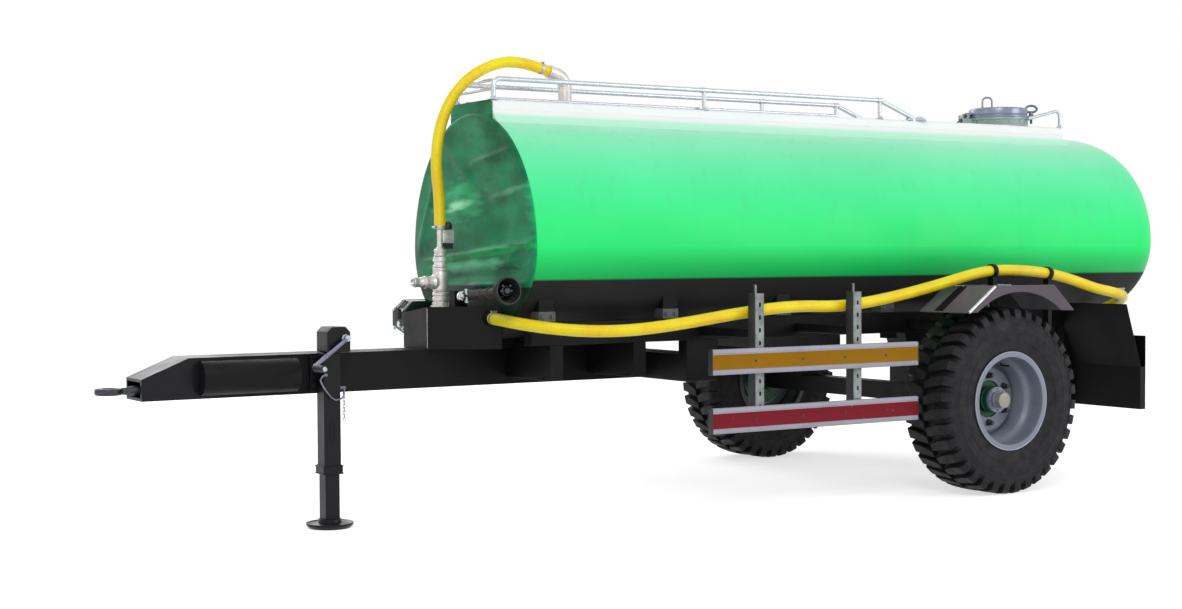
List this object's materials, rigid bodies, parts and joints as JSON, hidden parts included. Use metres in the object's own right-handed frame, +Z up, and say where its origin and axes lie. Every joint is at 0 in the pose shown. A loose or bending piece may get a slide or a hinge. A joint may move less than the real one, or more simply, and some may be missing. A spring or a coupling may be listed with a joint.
{
  "type": "single-axle tanker trailer",
  "caption": "Single-axle tractor-drawn liquid tanker trailer: elliptical tank on a rail chassis with drawbar, parking jack, hoses, side guards and hinged manhole lid.",
  "frame": {"origin": "on the ground, under the middle of the trailer's overall length and width", "axes": "+X from the towing eye to the rear, +Y to the trailer's right-hand side, +Z up"},
  "size_m": [5.24, 1.96, 1.8571],
  "materials": {
    "black_paint": "semi-gloss black chassis paint",
    "green_paint": "gloss green paint, paler to the top, black under the waist",
    "white_paint": "white paint",
    "galvanised": "dull zinc",
    "valve_metal": "cast and machined metal",
    "yellow_hose": "ribbed yellow PVC",
    "grey_paint": "grey sheet metal",
    "amber_plank": "aluminium plank with an amber band",
    "red_plank": "aluminium plank with a red band",
    "tyre": "black rubber",
    "rim_paint": "silver-grey rim paint",
    "hub_paint": "dark green paint",
    "lamp_red": "red lens",
    "plate_white": "blank plate",
    "pump_green": "dark green cast housing",
    "black_plastic": "moulded guard",
    "shaft_steel": "bright steel",
    "saddle_paint": "grey-black paint",
    "eye_steel": "worn dark steel"
  },
  "bodies": {
    "trailer": {"axle_beam": "black_paint", "axle_pedestals": "black_paint", "chassis_rails": "black_paint", "cross_members": "black_paint", "drawbar_beam": "black_paint", "drawbar_eye": "eye_steel", "drawbar_head": "black_paint", "fill_hose": "yellow_hose", "fill_valve": "valve_metal", "filler_elbow": "galvanised", "grab_rails": "galvanised", "guard_arms": "black_paint", "guard_posts": "galvanised", "hose_clips": "grey_paint", "hose_coupling": "galvanised", "jack_crank": "eye_steel", "jack_head": "black_paint", "jack_tube": "black_paint", "lower_plank": "red_plank", "manhole_collar": "galvanised", "mudguard_brackets": "black_paint", "mudguards": "grey_paint", "number_plate": "plate_white", "power_shaft": "shaft_steel", "pump_gearbox": "pump_green", "pump_housing": "black_paint", "railing_bars": "galvanised", "rear_apron": "black_paint", "rear_bumper": "black_paint", "rear_outlet": "valve_metal", "shaft_guard": "black_plastic", "side_hose": "yellow_hose", "side_railings": "galvanised", "tail_lamps": "lamp_red", "tank_front_head": "green_paint", "tank_rear_head": "green_paint", "tank_saddles": "saddle_paint", "tank_shell": "green_paint", "tank_spine": "white_paint", "upper_plank": "amber_plank", "valve_lever": "black_paint"},
    "left_wheel": {"left_hub": "hub_paint", "left_rim": "rim_paint", "left_tyre": "tyre"},
    "right_wheel": {"right_hub": "hub_paint", "right_rim": "rim_paint", "right_tyre": "tyre"},
    "jack_foot_leg": {"jack_leg": "black_paint"},
    "lid": {"manhole_lid": "galvanised", "manhole_latch": "galvanised"}
  },
  "joints": [
    {"name": "left_wheel_spin", "type": "hinge", "parent": "trailer", "child": "left_wheel", "pos_m": [1.02, -0.82, 0.4], "axis": [0, 1, 0], "continuous": true},
    {"name": "right_wheel_spin", "type": "hinge", "parent": "trailer", "child": "right_wheel", "pos_m": [1.02, 0.82, 0.4], "axis": [0, 1, 0], "continuous": true},
    {"name": "jack_slide", "type": "slide", "parent": "trailer", "child": "jack_foot_leg", "axis": [0, 0, 1], "range_m": [0, 0.15]},
    {"name": "manhole_hinge", "type": "hinge", "parent": "trailer", "child": "lid", "pos_m": [1.74159, 0.09274, 1.71], "axis": [-0.5299, -0.848, 0], "range_deg": [0, 105]}
  ]
}
